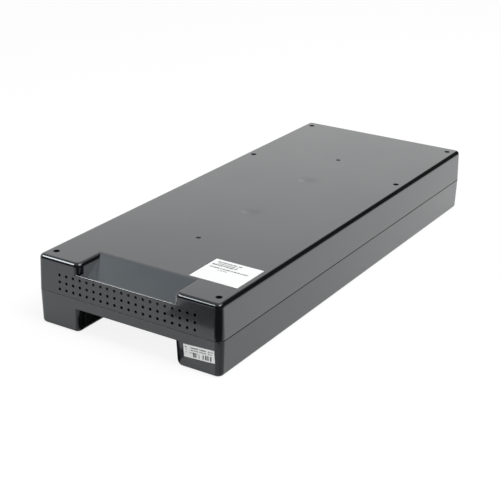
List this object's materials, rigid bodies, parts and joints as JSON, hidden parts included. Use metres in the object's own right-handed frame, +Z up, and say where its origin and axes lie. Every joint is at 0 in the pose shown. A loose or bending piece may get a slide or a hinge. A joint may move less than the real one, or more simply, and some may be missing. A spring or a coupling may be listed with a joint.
{
  "type": "ups battery cartridge",
  "caption": "Flat moulded black cartridge with a finger recess and vented front, sealed blocks in series inside and a blind-mate connector at the back.",
  "frame": {"origin": "middle of the underside, on the surface that the cartridge rests on", "axes": "+Z up; -Y towards the front with the finger recess and vents; +Y along the length towards the connector; +X to the right seen from the front"},
  "size_m": [0.208, 0.52, 0.0711],
  "materials": {
    "case": "semi-gloss moulded black",
    "block": "satin dark grey",
    "tab": "tinned",
    "receptacle": "translucent natural sleeve",
    "screw": "black zinc",
    "foam": "closed-cell foam",
    "lead_black": "flexible insulation",
    "lead_red": "flexible insulation",
    "fuse": "ceramic body, plated caps",
    "fuse_base": "moulded",
    "clip": "tinned spring clip",
    "connector": "moulded",
    "contact": "silver plated",
    "pin": "gold plated",
    "label": "coated white paper"
  },
  "bodies": {
    "root": {"lower_shell": "case", "upper_shell": "case", "battery_front_left": "block", "battery_front_right": "block", "battery_middle_left": "block", "battery_middle_right": "block", "battery_rear": "block", "positive_tab_front_left": "tab", "negative_tab_front_left": "tab", "positive_tab_front_right": "tab", "negative_tab_front_right": "tab", "positive_tab_middle_left": "tab", "negative_tab_middle_left": "tab", "positive_tab_middle_right": "tab", "negative_tab_middle_right": "tab", "positive_tab_rear": "tab", "negative_tab_rear": "tab", "flag_receptacles": "receptacle", "case_screws": "screw", "foam_left": "foam", "foam_right": "foam", "foam_rear": "foam", "link_front": "lead_black", "link_left": "lead_black", "link_middle": "lead_black", "link_rear": "lead_black", "negative_lead": "lead_black", "positive_lead": "lead_red", "fused_lead": "lead_red", "fuse": "fuse", "fuse_base": "fuse_base", "fuse_clip_left": "clip", "fuse_clip_right": "clip", "connector_housing": "connector", "power_contacts": "contact", "signal_pins": "pin", "top_label": "label", "front_label": "label"}
  },
  "joints": []
}
